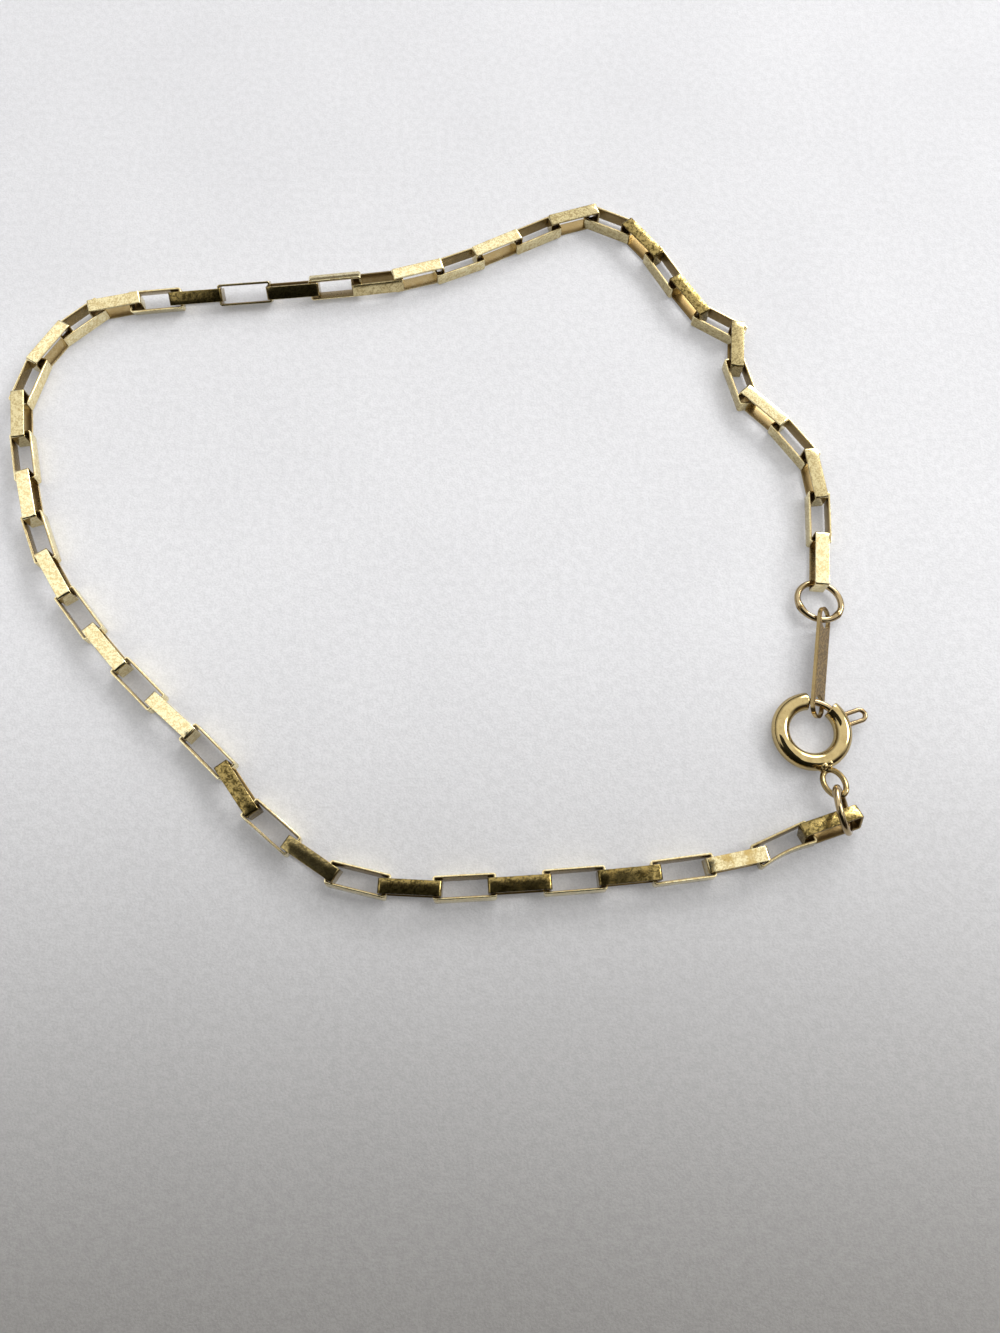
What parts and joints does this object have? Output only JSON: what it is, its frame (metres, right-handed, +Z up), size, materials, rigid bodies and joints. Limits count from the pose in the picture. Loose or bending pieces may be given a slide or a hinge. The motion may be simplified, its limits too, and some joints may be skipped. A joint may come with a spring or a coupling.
{
  "type": "chain anklet",
  "caption": "Fine gold-coloured anklet of long box links bent from flat strip, closed by a spring ring clasp with a small slotted tag, lying in a loose loop.",
  "frame": {"origin": "middle of the footprint, on the surface the anklet lies on", "axes": "+Z up from the surface, +Y away from the viewer of the picture, +X to the viewer's right, where the clasp is"},
  "size_m": [0.0802, 0.0712, 0.0045],
  "materials": {
    "chain_gold": "satin yellow gold with fine scratches",
    "clasp_gold": "polished yellow gold",
    "tag_gold": "dull yellow gold"
  },
  "bodies": {
    "anklet": {"box_chain": "chain_gold", "end_ring": "clasp_gold", "tag": "tag_gold", "clasp_body": "clasp_gold", "clasp_ring": "clasp_gold"},
    "bolt": {"clasp_bolt": "clasp_gold"}
  },
  "joints": [
    {"name": "bolt_slide_back", "type": "hinge", "parent": "anklet", "child": "bolt", "pos_m": [0.035, -0.02107, 0.00078], "axis": [0, 0, -1], "range_deg": [0, 50], "stiffness_Nm_per_rad": 0.0005, "springref_deg": -57.3}
  ]
}
